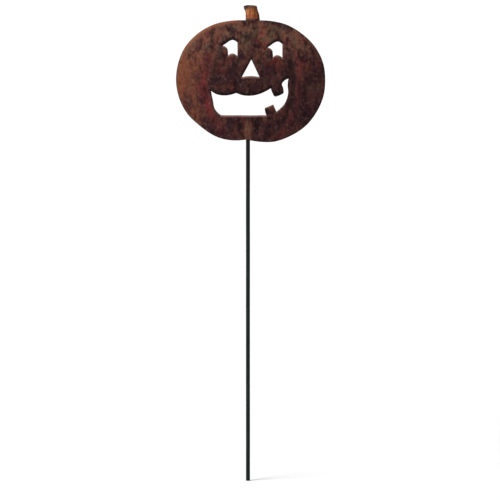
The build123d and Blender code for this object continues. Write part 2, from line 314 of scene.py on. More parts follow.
def dents(x, z, size, seed):
    return noise.fractal(Vector((x / size, seed, z / size)), 1.0, 2.0, 3)


def turned_back(distance, depth, width):
    """How far an edge is turned back at a distance from it: depth at the edge, 0 from width on."""
    return depth * max(1 - distance / width, 0) ** 2


def worked_depth(x, z):
    rim = rim_tree.find((x, z, 0))[2]
    hole = opening_tree.find((x, z, 0))[2]
    lean = tooth_lean(x, z)
    depth = sheet_depth(x, z) + turned_back(rim, RIM_DEPTH, RIM_WIDTH)
    depth += (1 - min(4 * lean, 1)) * turned_back(hole, ROLL_DEPTH, ROLL_WIDTH)
    return depth + WIDE_DENT * dents(x, z, 34 * MM, 3.1) + SMALL_DENT * dents(x, z, 9 * MM, 7.7)


def new_piece(name, points, faces, sharp=35):
    """A mesh object with smooth shading that breaks at edges sharper than the given angle."""
    mesh = bpy.data.meshes.new(name)
    mesh.from_pydata([tuple(p) for p in points], [], [tuple(int(i) for i in f) for f in faces])
    work = bmesh.new()
    work.from_mesh(mesh)
    bmesh.ops.recalc_face_normals(work, faces=work.faces)
    open_edges = sum(not e.is_manifold for e in work.edges)
    work.to_mesh(mesh)
    work.free()
    mesh.shade_smooth()
    mesh.set_sharp_from_angle(angle=math.radians(sharp))
    piece = bpy.data.objects.new(name, mesh)
    bpy.context.scene.collection.objects.link(piece)
    print(name, len(mesh.vertices), "points,", len(mesh.polygons), "faces,", open_edges, "open edges")
    return piece


# %% The sheet as a closed mesh
points, flat_places = [], []


def add_layer(flat, extra):
    """Adds a layer of points that stands extra behind the sheet's front, and gives their numbers."""
    start = len(points)
    for x, z in flat:
        points.append((FACE_X + x, FACE_Y + worked_depth(x, z) + extra, FACE_Z + z))
        flat_places.append((x, z))
    return np.arange(start, len(points))


front, back = add_layer(sheet_points, 0), add_layer(sheet_points, SHEET)
faces = [front[t] for t in triangles] + [back[t[::-1]] for t in triangles]
for line, loop in zip(cut_lines, loops):
    rings = [front[loop], add_layer(line, EDGE_ROUND), add_layer(line, SHEET - EDGE_ROUND), back[loop]]
    for ring, following in zip(rings, rings[1:]):
        for a, b, c, d in zip(ring, np.roll(ring, -1), np.roll(following, -1), following):
            faces.append((a, b, c, d))
face_sheet = new_piece("face_sheet", points, faces)

# %% [markdown]
# ## Marks that the finish will need
# Rust is not the same everywhere, and some light and shade is painted into it. The creases are darkened
# with painted shade, and so is a band beside each outer crease on the side towards the middle. The outer
# flanks are red, partly red rust and partly a painted highlight. Painted shade makes the sheet black above
# an opening, and a painted highlight makes the ledge below one pale. It is lighter brown where the weld
# behind the chin heated the sheet. A few round patches are redder, greener or darker than the rest. Each of
# these marks is a number at every point of the mesh, so it is stored as an attribute that the material can
# read.
# %% How strong each mark is at a point
bar_low, bar_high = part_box("stake_bar")
CHIN_Z = FACE_Z + NOTCH[1] * HALF_HEIGHT
CHIN_RISE = MOUTH_Z - NOTCH[1] * HALF_HEIGHT
HEAT_SPREAD = 6.5
print("chin at", round(CHIN_Z / MM, 1), "mm, and the mouth", round(CHIN_RISE / MM, 1), "mm above it")


def bell(value, middle, width):
    """1 where value is at the middle, fading smoothly to 0 on both sides of it."""
    return math.exp(-(((value - middle) / width) ** 2))


def flank_share(x, z):
    """Red on the slope of the outer creases, partly red rust and partly a painted highlight, most on the
    lower half of the left one.
    """
    fade, offsets = crease_offsets(x, z)
    low = 0.25 + 0.95 * bell(z, -0.30 * HALF_HEIGHT, 0.36 * HALF_HEIGHT)
    return fade * (low * bell(offsets[0], 0.7, 1.0) + 0.30 * bell(offsets[-1], 1.5, 0.8))


def shadow_share(x, z):
    """Painted shade beside the outer creases, on the side towards the middle."""
    fade, offsets = crease_offsets(x, z)
    high = bell(z, 0.15 * HALF_HEIGHT, 0.6 * HALF_HEIGHT)
    return fade * (high * bell(offsets[0], -1.9, 1.5) + 0.4 * bell(offsets[-1], -0.5, 1.2))


def weld_heat(x, z):
    """1 along the line of the bar behind the chin, fading to its sides and towards the mouth."""
    up = (FACE_Z + z - CHIN_Z) / CHIN_RISE
    off = abs(x + FACE_X) / MM
    sideways = 1 / (1 + (off / HEAT_SPREAD) ** 4) - 0.35 * bell(off, 0, 1.6)
    return sideways * min(max(1.5 * (1.15 - up), 0), 1)


def soot_share(x, z):
    """Dark round the chin's streak of heat, and on the tooth that hangs from the upper lip."""
    up = (FACE_Z + z - CHIN_Z) / CHIN_RISE
    chin = 0.7 * bell(abs(x + FACE_X) / MM, 16, 9) * bell(up, 0.55, 0.6)
    hanging = bell(x, MOUTH_X + 0.72 * MOUTH_WIDTH / 2, 9 * MM)
    hanging *= bell(z, MOUTH_Z + 0.60 * MOUTH_HEIGHT, 9 * MM)
    return chin + 1.3 * hanging


def lip_share(x, z):
    """1 on the edge above an opening, where shade is painted, -1 on the edge below one, where a highlight
    is painted, fading over a few millimetres.
    """
    near, _, gap = opening_tree.find((x, z, 0))
    if gap < 1e-6:
        return 0.0
    return (z - near[1]) / gap * math.exp(-gap / (5.5 * MM if z > near[1] else 3.5 * MM))


# %% Round patches
# Each is (x, z, radius, strength), in millimetres from the face's middle.
RED_PATCHES = [
    (-32, -7, 10, 1.0), (51, 36, 8, 0.9), (-62, 104, 10, 1.0), (-24, 60, 9, 0.5), (24, 78, 8, 0.6)
]
GREEN_PATCHES = [
    (0, 96, 20, 0.8), (50, 92, 15, 1.0), (-119, 58, 17, 1.0), (-80, 72, 14, 0.7), (12, -104, 9, 0.8)
]
DARK_PATCHES = [
    (-38, 100, 11, 1.0), (-34, 84, 9, 0.8), (0, -16, 17, 1.0), (70, -30, 18, 0.5), (30, -100, 14, 0.8),
    (-110, -66, 16, 0.6),
]


def patch_share(x, z, places):
    """The strongest of some round patches at x, z."""
    shares = []
    for px, pz, radius, strength in places:
        shares.append(strength * bell(math.hypot(x / MM - px, z / MM - pz) / radius, 0, 1))
    return max(shares)


# %% Store the marks
def store(piece, name, values):
    """Keeps one number for each point of a piece, under a name that its finish can read."""
    layer = piece.data.attributes.new(name, "FLOAT", "POINT")
    layer.data.foreach_set("value", np.array(values, np.float32))
    print(f"{name:8s} runs from {min(values):.2f} to {max(values):.2f}")


shares = {
    "crease": crease_share, "flank": flank_share, "shadow": shadow_share, "scorch": weld_heat,
    "soot": soot_share, "lip": lip_share, "tooth": tooth_lean,
}
for name, share in shares.items():
    store(face_sheet, name, [share(x, z) for x, z in flat_places])
for name, places in {"red": RED_PATCHES, "green": GREEN_PATCHES, "dark": DARK_PATCHES}.items():
    store(face_sheet, name, [patch_share(x, z, places) for x, z in flat_places])
store(face_sheet, "rim", [rim_tree.find((x, z, 0))[2] / MM for x, z in flat_places])

# %% [markdown]
# ## The rolled stem
# The stem is a strip of sheet rolled into a tube around a mandrel. A fine seam stays open at the back,
# and its mouth leans to the left and flares unevenly where it was cut. A tube could come from a curve with
# a bevel, but then its wall would have no thickness at the mouth, so the wall is built as an outer and an
# inner skin that are joined along the mouth, the foot and both edges of the seam.
# %% The stem's skins
stem_low, stem_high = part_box("pumpkin_stem")
STEM_WALL = 1.5 * MM
STEM_SEAM = 0.2 * MM
STEM_FOOT_RADIUS = (stem_high.y - stem_low.y) / 2
STEM_X = stem_high.x - STEM_FOOT_RADIUS
STEM_Y = (stem_low.y + stem_high.y) / 2
STEM_LENGTH = stem_high.z - stem_low.z
STEM_LEFT = [(0, -1), (0.72, -1.0), (0.78, -1.07), (0.84, -1.22), (1, -1.28)]
STEM_RIGHT = [(0, 1), (0.36, 1), (0.62, 0.89), (0.72, 0.77), (0.90, 0.62), (1, 0.57)]


def eased(table, up):
    """A value from a table of (height, value), rounded off over a few hundredths of the height."""
    near = [min(max(up + step, 0), 1) for step in (-0.05, -0.025, 0, 0.025, 0.05)]
    return float(np.mean(np.interp(near, *zip(*table))))


def stem_point(up, turn, inward):
    """A point of the stem: up from 0 to 1, turn in radians from the seam, inward from the outer skin."""
    left, right = eased(STEM_LEFT, up) * STEM_FOOT_RADIUS, eased(STEM_RIGHT, up) * STEM_FOOT_RADIUS
    angle = math.pi / 2 + turn
    around = Vector((1.5 * math.cos(turn), 1.5 * math.sin(turn), 2.5 * up))
    fold = 0.3 * MM * noise.fractal(around, 1, 2, 3) * min(3 * up, 1)
    radius = (right - left) / 2 + fold - inward
    torn = noise.noise(Vector((1.7 * math.cos(turn), 1.7 * math.sin(turn), 9))) - 0.4
    ragged = 0.8 * MM * up**8 * torn
    x = STEM_X + (left + right) / 2 + radius * math.cos(angle)
    y = STEM_Y + min(radius, STEM_FOOT_RADIUS - inward) * math.sin(angle)
    return (x, y, stem_low.z + up * STEM_LENGTH + ragged)


def tube_wall(name, point, ups, turns, wall):
    """A closed wall between two skins, from a function of up, turn and depth in the wall."""
    points = [point(up, turn, inward) for inward in (0, wall) for up in ups for turn in turns]
    n, m = len(ups), len(turns)
    outer = np.arange(n * m).reshape(n, m)
    inner = outer + n * m
    faces = []
    for i in range(n - 1):
        for j in range(m - 1):
            faces.append((outer[i, j], outer[i, j + 1], outer[i + 1, j + 1], outer[i + 1, j]))
            faces.append((inner[i, j], inner[i + 1, j], inner[i + 1, j + 1], inner[i, j + 1]))
    for i in (0, n - 1):
        for j in range(m - 1):
            faces.append((outer[i, j], inner[i, j], inner[i, j + 1], outer[i, j + 1]))
    for j in (0, m - 1):
        for i in range(n - 1):
            faces.append((outer[i, j], outer[i + 1, j], inner[i + 1, j], inner[i, j]))
    return new_piece(name, points, faces)


half_seam = STEM_SEAM / 2 / STEM_FOOT_RADIUS
turns = np.linspace(half_seam, 2 * math.pi - half_seam, 97)
stem_tube = tube_wall("stem_tube", stem_point, np.linspace(0, 1, 40), turns, STEM_WALL)
side_shares = [-math.sin(turn) for turn in turns]
store(stem_tube, "side", side_shares * (len(stem_tube.data.vertices) // len(turns)))

# %% [markdown]
# ## The bar
# The bar is drawn steel, cut square with a small bevel at one end and bent a few degrees forward where
# it laps the chin. It is made by carrying a ring of points along a line. The line and the radius wander by
# a few hundredths of a millimetre, as a bar does that has been pushed into the ground and pulled out
# again, which is enough to break up the long highlight.
# %% Rings carried along a line
def rings_along(name, stations, around):
    """A closed round piece from stations of (middle, direction, radius)."""
    points, faces = [], []
    for index, (middle, direction, radius) in enumerate(stations):
        direction = Vector(direction).normalized()
        across = Vector((1, 0, 0)) - direction * direction.x
        across.normalize()
        over = direction.cross(across)
        for k in range(around):
            angle = 2 * math.pi * k / around
            spoke = math.cos(angle) * across + math.sin(angle) * over
            points.append(Vector(middle) + float(radius) * spoke)
    rows = len(stations)
    for i in range(rows - 1):
        for k in range(around):
            a, b = i * around + k, i * around + (k + 1) % around
            faces.append((a, b, b + around, a + around))
    points += [Vector(stations[0][0]), Vector(stations[-1][0])]
    for k in range(around):
        faces.append((rows * around, (k + 1) % around, k))
        faces.append((rows * around + 1, (rows - 1) * around + k, (rows - 1) * around + (k + 1) % around))
    return new_piece(name, points, faces)


# %% The bar's line and its cut end
BAR_RADIUS = (bar_high.x - bar_low.x) / 2
FOOT_BEVEL, FOOT_RADIUS = 1.2 * MM, 3.1 * MM
LAP_ANGLE = math.radians(5.86)
BEND_Z = CHIN_Z - 5 * MM
BEND_HALF_LENGTH = 2 * MM
WANDER = 0.12 * MM


def bar_middle(z):
    """The middle of the bar at height z: straight up to the bend, then leaning towards the chin."""
    past, soft = z - BEND_Z, BEND_HALF_LENGTH
    lap = max(past, 0) if abs(past) > soft else (past + soft) ** 2 / (4 * soft)
    wander = WANDER * noise.noise(Vector((0, 3.3, z / 0.11)))
    return Vector((wander, -lap * math.tan(LAP_ANGLE), z))


def bar_radius(z):
    bevel = (z - bar_low.z) / FOOT_BEVEL
    if bevel < 1:
        return FOOT_RADIUS + (BAR_RADIUS - FOOT_RADIUS) * math.sin(max(bevel, 0) * math.pi / 2)
    return BAR_RADIUS * (1 - 0.012 * abs(noise.noise(Vector((5, 0, z / 0.02)))))


heights = np.concatenate([
    bar_low.z + np.linspace(0, 1, 7) * FOOT_BEVEL,
    np.linspace(bar_low.z + FOOT_BEVEL + 3 * MM, BEND_Z - 6 * MM, 155),
    np.linspace(BEND_Z - 4 * MM, BEND_Z + 4 * MM, 9),
    np.linspace(BEND_Z + 8 * MM, bar_high.z - 1.0 * MM, 12),
])
stations = []
for z in heights:
    lean = bar_middle(z + 0.1 * MM) - bar_middle(z - 0.1 * MM)
    stations.append((bar_middle(z), lean, bar_radius(z)))
end_lean = stations[-1][1]
top = bar_middle(bar_high.z - 0.5 * MM)
stations.append((top - 0.2 * MM * end_lean.normalized(), end_lean, BAR_RADIUS - 0.15 * MM))
stations.append((top, end_lean, BAR_RADIUS - 0.7 * MM))
bar = rings_along("ground_bar", stations, 32)

# %% [markdown]
# ## The weld beads
# A weld bead is a row of frozen puddles. Each puddle overlaps the last like a fallen coin, which gives
# the bead its ripples. The beads are short sweeps whose radius rises and falls once for each puddle, a
# little differently each time.
# %% One bead for each corner
def weld_bead(name, start, end, radius, puddle, seed):
    """A bead from start to end. puddle is the length of one ripple, and seed makes each bead its own."""
    length = (end - start).length
    direction = (end - start) / length
    stations = []
    steps = max(int((length + 2 * radius) / (0.28 * MM)), 24)
    for i in range(steps + 1):
        along = -radius + (length + 2 * radius) * i / steps
        past = max(-along, along - length, 0) / radius
        cap = math.sqrt(max(1 - past**2, 0.0036))
        phase = (along / puddle) % 1
        ripple = 1 - 0.13 * phase**2 + 0.07 * noise.noise(Vector((along / puddle, seed, 0)))
        sway = 0.10 * radius * noise.noise(Vector((0.6 * along / puddle, seed, 4)))
        middle = start + along * direction + Vector((sway, 0, 0))
        stations.append((middle, direction, radius * cap * ripple))
    return rings_along(name, stations, 28)


CHIN_BEAD_RADIUS, CHIN_PUDDLE = 3.0 * MM, 1.9 * MM
STEM_BEAD_RADIUS, STEM_PUDDLE = 2.3 * MM, 1.6 * MM
beads = {}
for side, outward in (("left", -1), ("right", 1)):
    low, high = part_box(f"chin_weld_{side}")
    radius = CHIN_BEAD_RADIUS
    ends = []
    for z in (low.z + radius, high.z - radius):
        y = bar_middle(z).y - BAR_RADIUS + 0.6 * radius
        ends.append(Vector((outward * (BAR_RADIUS + 0.2 * radius), y, z)))
    name = f"chin_bead_{side}"
    beads[f"chin_weld_{side}"] = weld_bead(name, *ends, radius, CHIN_PUDDLE, 3 + outward)
    low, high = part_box(f"stem_weld_{side}")
    middle = (low + high) / 2
    radius = STEM_BEAD_RADIUS
    foot = Vector((middle.x, middle.y, low.z + radius))
    head = Vector((middle.x, middle.y - 0.2 * MM, high.z - radius))
    name = f"stem_bead_{side}"
    beads[f"stem_weld_{side}"] = weld_bead(name, foot, head, radius, STEM_PUDDLE, 7 + outward)

# %% [markdown]
# ## Writing materials as sums
# A finish is mostly arithmetic on patterns: this much orange where the noise is high, less of it where the
# mask is low. Drawing each sum by hand as nodes is slow to read, so one small class wraps a socket and lets
# Python's own signs add the nodes. Numbers are combined by Math nodes, colours by Mix nodes.
# %% A wire that can be added and multiplied
class Wire:
    """One output socket in a finish, which can be used in a sum."""

    def __init__(self, finish, socket):
        self.finish, self.socket = finish, socket

    def sum(self, operation, *others):
        return self.finish.node("ShaderNodeMath", {"operation": operation}, dict(enumerate(others)))

    def __add__(self, other):
        return self.sum("ADD", self, other)

    def __sub__(self, other):
        return self.sum("SUBTRACT", self, other)

    def __mul__(self, other):
        return self.sum("MULTIPLY", self, other)

    __radd__, __rmul__ = __add__, __mul__


class Finish:
    """A material, its surface shader and the patterns that feed it."""

    def __init__(self, name, **uniform):
        self.material = bpy.data.materials.new(name)
        self.material.use_nodes = True
        self.tree = self.material.node_tree
        self.shader = self.tree.nodes["Principled BSDF"]
        for socket, value in uniform.items():
            self.shader.inputs[socket.replace("_", " ")].default_value = value
        self.place = self.node("ShaderNodeTexCoord", {}, {}, "Object")

    def node(self, kind, settings, sockets, output=0):
        """A new node: its settings are set first, then its sockets get values or wires."""
        made = self.tree.nodes.new(kind)
        for name, value in settings.items():
            setattr(made, name, value)
        for name, value in sockets.items():
            if isinstance(value, Wire):
                self.tree.links.new(value.socket, made.inputs[name])
            else:
                made.inputs[name].default_value = value
        return Wire(self, made.outputs[output])

    def feed(self, socket, wire):
        self.tree.links.new(wire.socket, self.shader.inputs[socket])

    def tell(self, step):
        print(f"{self.material.name}: {step} done, {len(self.tree.nodes)} nodes")


# %% Patterns that every finish uses
def linear(*eight_bit):
    """A colour as paint charts give it, 0 to 255, turned into the linear light that shaders use."""
    shares = [v / 255 for v in eight_bit]
    return tuple(s / 12.92 if s <= 0.04045 else ((s + 0.055) / 1.055) ** 2.4 for s in shares) + (1.0,)


def along(finish, axis):
    """Where a point of the surface lies along the axis X, Y or Z, in metres."""
    return finish.node("ShaderNodeSeparateXYZ", {}, {"Vector": finish.place}, axis)


def patches(finish, size, detail, roughness, distortion=0.0, stretch=(1, 1, 1), shift=(0, 0, 0)):
    """Noise from 0 to 1 whose blotches are about size metres across."""
    layout = {"Vector": finish.place, "Location": shift, "Scale": stretch}
    place = finish.node("ShaderNodeMapping", {}, layout)
    look = {"Scale": 1 / size, "Detail": detail, "Roughness": roughness, "Distortion": distortion}
    return finish.node("ShaderNodeTexNoise", {}, {"Vector": place, **look})


def ease(finish, value, low, high, start=0.0, end=1.0):
    """start below low, end above high, and a smooth change between them."""
    return finish.node(
        "ShaderNodeMapRange", {"interpolation_type": "SMOOTHSTEP"},
        {"Value": value, "From Min": low, "From Max": high, "To Min": start, "To Max": end},
    )


def blend(finish, share, first, second, how="MIX"):
    """Two colours mixed by a share from 0 to 1."""
    return finish.node(
        "ShaderNodeMix", {"data_type": "RGBA", "blend_type": how, "clamp_factor": True},
        {0: share, 6: first, 7: second}, 2,
    )


def mark(finish, name):
    """A number that was stored at each point of the mesh."""
    return finish.node("ShaderNodeAttribute", {"attribute_name": name}, {}, "Fac")


def relief(finish, height, distance, under=None):
    """Turns a height from 0 to 1 into a bumped normal. distance is the height's full size in metres."""
    sockets = {"Height": height, "Distance": distance, "Strength": 1.0}
    if under is not None:
        sockets["Normal"] = under
    return finish.node("ShaderNodeBump", {}, sockets)


# %% [markdown]
# ## Rust on the sheet
# The sheet was left to rust and then sealed. Its ground is a dark plum-brown skin of mill scale. Orange
# rust has come through it, most towards the left. The top is paler, partly pale rust and partly painted
# light from above, with patches of dull olive. The finish is laid down in that order: ground, orange, paler
# top, then the painted shade of the creases, the red flanks, the weld's heat, the painted shade and
# highlights at the openings, the darker outline, and last the fine light and dark specks. At the end the
# whole colour is brightened towards the left and the top, which is painted light.
# %% Patterns in the rust
rust = Finish("rusted_sheet_finish", Specular_IOR_Level=0.03)
across, height = along(rust, "X"), along(rust, "Z")
ALONG_LOBES = (1, 1, 0.6)
broad = patches(rust, 60 * MM, 3, 0.5, 0.3)
mottle = patches(rust, 16 * MM, 5, 0.62, 0.4, ALONG_LOBES, (3, 1, 2))
cloud = patches(rust, 22 * MM, 4, 0.60, 0.5, ALONG_LOBES, (9, 4, 1))
fleck = patches(rust, 5.5 * MM, 4, 0.64, 0.2, (1, 1, 0.8), (7, 2, 5))
grain = patches(rust, 1.4 * MM, 2, 0.6)
to_left = ease(rust, across, FACE_X - 0.40 * HALF_WIDTH, FACE_X - 0.86 * HALF_WIDTH)
to_right = ease(rust, across, FACE_X + 0.50 * HALF_WIDTH, FACE_X + 0.9 * HALF_WIDTH)
to_top = ease(rust, height, FACE_Z + 0.18 * HALF_HEIGHT, FACE_Z + 0.70 * HALF_HEIGHT)
above_foot = ease(rust, height, FACE_Z - 0.55 * HALF_HEIGHT, FACE_Z + 0.10 * HALF_HEIGHT)
below_crown = ease(rust, height, FACE_Z + 0.75 * HALF_HEIGHT, FACE_Z + 0.25 * HALF_HEIGHT)
waist = above_foot * below_crown
rust.tell("patterns")

# %% The ground, the brown and the orange
PLUM, BROWN = linear(50, 27, 32), linear(70, 41, 38)
ORANGE, BRICK = linear(108, 62, 43), linear(100, 44, 40)
colour = blend(rust, ease(rust, mottle, 0.42, 0.62), PLUM, BROWN)
orange_share = to_left * (0.48 + 0.34 * waist) + 2.0 * (mottle - 0.5) + 0.7 * (broad - 0.5)
colour = blend(rust, ease(rust, orange_share, 0.05, 1.1), colour, ORANGE)
brick_share = ease(rust, cloud + 0.06 * to_top - 0.06 * to_right + 0.14 * mark(rust, "red"), 0.53, 0.68)
colour = blend(rust, 0.65 * brick_share, colour, BRICK)
rust.tell("ground and orange")

# %% Paler top with painted light, olive patina, painted shade in the creases, and the flanks
OLIVE, CREASE_SHADE, PALE_RUST = linear(72, 62, 48), linear(44, 32, 31), linear(118, 80, 62)
FLANK = linear(116, 46, 46)
olive = patches(rust, 15 * MM, 5, 0.64, 0.5, ALONG_LOBES, (1, 8, 4))
# Paler towards the top: pale rust and painted light from above.
pale_top_rust_and_light = to_top * ease(rust, 0.6 * mottle + 0.4 * fleck, 0.40, 0.60)
colour = blend(rust, 0.62 * pale_top_rust_and_light, colour, PALE_RUST)
olive_share = ease(rust, olive + 0.09 * to_top + 0.16 * mark(rust, "green"), 0.60, 0.74)
colour = blend(rust, 0.65 * olive_share, colour, OLIVE)
# Painted shade: the creases are darkened.
crease = mark(rust, "crease")
colour = blend(rust, 0.45 * ease(rust, crease + 0.8 * (mottle - 0.5), 0.55, 1.0), colour, CREASE_SHADE)
# Painted shade beside the outer creases, on the side towards the middle.
shadow = mark(rust, "shadow") * ease(rust, cloud, 0.30, 0.52)
colour = blend(rust, 0.70 * shadow, colour, CREASE_SHADE)
# The red flanks: partly red rust, partly a painted highlight on the slope that faces the light.
flank = mark(rust, "flank") * ease(rust, mottle, 0.32, 0.50)
colour = blend(rust, 0.85 * flank, colour, FLANK)
rust.tell("weathered top and creases")

# %% Black scale, heat from the weld, painted shade and highlight at the edges, and specks
BLACK, DARK_EDGE, HEAT = linear(28, 17, 19), linear(38, 25, 22), linear(124, 82, 62)
LEDGE_HIGHLIGHT, CROWN_HIGHLIGHT = linear(164, 128, 116), linear(134, 84, 62)
SPECK_LIGHT, SPECK_DARK = linear(116, 86, 76), linear(24, 13, 13)
scale = patches(rust, 13 * MM, 4, 0.60, 0.2, ALONG_LOBES, (5, 5, 9))
black_share = scale + 0.05 * to_top + 0.01 * to_right - 0.02 * to_left + 0.15 * mark(rust, "dark")
colour = blend(rust, 0.70 * ease(rust, black_share, 0.56, 0.70), colour, BLACK)
scorch, soot, lip = mark(rust, "scorch"), mark(rust, "soot"), mark(rust, "lip")
colour = blend(rust, 0.8 * ease(rust, soot + 0.5 * (fleck - 0.5), 0.15, 0.85), colour, BLACK)
colour = blend(rust, 0.48 * ease(rust, scorch + 1.1 * (fleck - 0.5), 0.25, 0.9), colour, HEAT)
tooth = mark(rust, "tooth")
tooth_left = ease(rust, across, FACE_X + TOOTH_X + 1 * MM, FACE_X + TOOTH_X - 4 * MM)
colour = blend(rust, 0.8 * ease(rust, tooth, 0.25, 0.6), colour, ORANGE)
colour = blend(rust, 0.9 * ease(rust, tooth, 0.08, 0.3) * tooth_left, colour, BLACK)
# Painted shade in black above each opening, and a pale painted highlight on the ledge below it.
colour = blend(rust, 0.9 * ease(rust, lip + 0.3 * (fleck - 0.5), 0.15, 0.50), colour, BLACK)
colour = blend(rust, 0.8 * ease(rust, lip + 0.3 * (fleck - 0.5), -0.25, -0.85), colour, LEDGE_HIGHLIGHT)
rim = mark(rust, "rim") + 2.2 * (fleck - 0.5)
colour = blend(rust, 0.6 * ease(rust, rim, 2.6, 0.6), colour, DARK_EDGE)
# Painted highlight along the top rim, away from the stem.
beside_stem = ease(rust, across, STEM_X - 18 * MM, STEM_X - 34 * MM) + 0.5 * to_right
crown_rim_highlight = 0.75 * to_top * ease(rust, rim, 9.0, 2.0) * beside_stem
colour = blend(rust, crown_rim_highlight, colour, CROWN_HIGHLIGHT)
speckle = fleck + 0.4 * (grain - 0.5)
colour = blend(rust, 0.40 * ease(rust, speckle, 0.53, 0.70), colour, SPECK_LIGHT)
colour = blend(rust, 0.50 * ease(rust, speckle, 0.47, 0.30), colour, SPECK_DARK)
# Painted light: the colour is brighter towards the left and the top, as if lit from the upper left.
shade = ease(rust, to_left + 0.7 * to_top, 0.0, 1.0, 0.72, 0.92)
painted_light_colour = rust.node("ShaderNodeCombineColor", {}, {"Red": shade, "Green": shade, "Blue": shade})
rust.feed("Base Color", blend(rust, 1.0, colour, painted_light_colour, "MULTIPLY"))
rust.feed("Roughness", ease(rust, mottle + 0.5 * (fleck - 0.5), 0.3, 0.8, 0.62, 0.86))
pit_field = {"Vector": rust.place, "Scale": 1 / (5.5 * MM), "Randomness": 1.0}
pits = rust.node("ShaderNodeTexVoronoi", {"feature": "F1"}, pit_field, "Distance")
skin = relief(rust, mottle, 1.2 * MM)
skin = relief(rust, fleck, 0.6 * MM, skin)
skin = relief(rust, ease(rust, pits, 0.05, 0.30), 0.18 * MM, skin)
rust.feed("Normal", relief(rust, grain, 0.16 * MM, skin))
rust.tell("scale, heat, edges and specks")

# %% [markdown]
# ## Rust on the stem
# The stem has rusted to a clear amber, because its strip was thinner and had less scale on it. A painted
# highlight makes it lighter towards its left, and it has a russet belt below the middle. It is darker
# around its foot, painted shade darkens it below its mouth and along both sides, and it carries the fine
# lengthwise streaks of the rolling.
# %% Amber rust
amber = Finish("rusted_stem_finish", Specular_IOR_Level=0.08)
across, height = along(amber, "X"), along(amber, "Z")
blotch = patches(amber, 9 * MM, 5, 0.62, 0.3, (1, 1, 0.7))
streak = patches(amber, 4 * MM, 3, 0.55, 0, (1, 1, 0.12), (2, 2, 6))
fine = patches(amber, 1.5 * MM, 3, 0.6)
AMBER, DEEP, PALE = linear(166, 98, 56), linear(116, 62, 38), linear(166, 114, 82)
RUSSET, CORNER_SHADE = linear(122, 60, 28), linear(44, 38, 30)
FOOT, MOUTH_SHADE = linear(58, 34, 38), linear(96, 64, 46)
colour = blend(amber, ease(amber, blotch + 0.9 * (streak - 0.5), 0.36, 0.66), AMBER, DEEP)
# Painted highlight: the stem is lighter towards its left, where the light comes from.
to_left = ease(amber, across, STEM_X - 0.1 * STEM_FOOT_RADIUS, STEM_X - 1.1 * STEM_FOOT_RADIUS)
colour = blend(amber, 0.6 * to_left * ease(amber, blotch, 0.35, 0.6), colour, PALE)
lines = ease(amber, streak + 0.3 * (blotch - 0.5), 0.60, 0.70)
colour = blend(amber, 0.45 * lines, colour, FOOT)
belt_height = height + 7 * MM * (blotch - 0.5)
belt = ease(amber, belt_height, stem_low.z + 0.42 * STEM_LENGTH, stem_low.z + 0.52 * STEM_LENGTH)
belt *= ease(amber, belt_height, stem_low.z + 0.68 * STEM_LENGTH, stem_low.z + 0.56 * STEM_LENGTH)
colour = blend(amber, 0.7 * belt, colour, RUSSET)
foot_share = ease(amber, belt_height, stem_low.z + 0.52 * STEM_LENGTH, stem_low.z + 0.38 * STEM_LENGTH)
colour = blend(amber, 0.85 * foot_share, colour, FOOT)
side = mark(amber, "side")
# Painted shade along both sides of the tube.
side_shade = ease(amber, side, 0.62, 0.92) + 0.8 * ease(amber, side, -0.78, -0.95)
colour = blend(amber, 0.75 * side_shade, colour, FOOT)
# Painted shade below the mouth, darkest at its left corner.
mouth_shade = ease(amber, height + 4 * MM * (blotch - 0.5), stem_high.z - 6 * MM, stem_high.z - 3.5 * MM)
colour = blend(amber, 0.92 * mouth_shade, colour, MOUTH_SHADE)
corner = ease(amber, height - 7 * MM * side, stem_high.z - 3 * MM, stem_high.z + 0.5 * MM)
colour = blend(amber, 0.9 * corner * ease(amber, side, -0.1, -0.6), colour, CORNER_SHADE)
colour = blend(amber, 0.30 * ease(amber, fine, 0.55, 0.75), colour, PALE)
colour = blend(amber, 0.40 * ease(amber, fine, 0.45, 0.30), colour, FOOT)
amber.feed("Base Color", colour)
amber.feed("Roughness", ease(amber, blotch, 0.3, 0.7, 0.6, 0.82))
skin = relief(amber, blotch, 0.5 * MM)
skin = relief(amber, streak, 0.35 * MM, skin)
amber.feed("Normal", relief(amber, fine, 0.12 * MM, skin))
amber.tell("rust")

# %% [markdown]
# ## Paint on the bar
# The bar is painted a green-black that looks black until the light catches it. Duller patches lie along
# it, and small chips show the pale primer. Near the chin the weld's heat has browned the paint.
# %% Green-black paint
paint = Finish("painted_bar_finish", Specular_IOR_Level=0.18)
height = along(paint, "Z")
cloud = patches(paint, 30 * MM, 4, 0.6, stretch=(1, 1, 0.5))
scuff = patches(paint, 3.5 * MM, 4, 0.65, stretch=(1, 1, 0.25))
fine = patches(paint, 0.9 * MM, 2, 0.6)
PAINT, DULL, PRIMER, SCORCH = linear(3, 13, 14), linear(15, 30, 30), linear(128, 130, 122), linear(15, 9, 8)
colour = blend(paint, ease(paint, cloud + 0.5 * (scuff - 0.5), 0.4, 0.75), PAINT, DULL)
scorched = ease(paint, height + 40 * MM * (cloud - 0.5), CHIN_Z - 130 * MM, CHIN_Z - 20 * MM)
colour = blend(paint, 0.9 * scorched, colour, SCORCH)
chips = ease(paint, scuff + 0.2 * (fine - 0.5), 0.70, 0.76) * ease(paint, cloud, 0.5, 0.65)
colour = blend(paint, 0.8 * chips, colour, PRIMER)
paint.feed("Base Color", colour)
paint.feed("Roughness", ease(paint, scuff + 0.6 * scorched, 0.35, 1.1, 0.40, 0.66))
skin = relief(paint, cloud, 0.25 * MM)
paint.feed("Normal", relief(paint, scuff - 0.6 * chips, 0.08 * MM, skin))
paint.tell("paint")

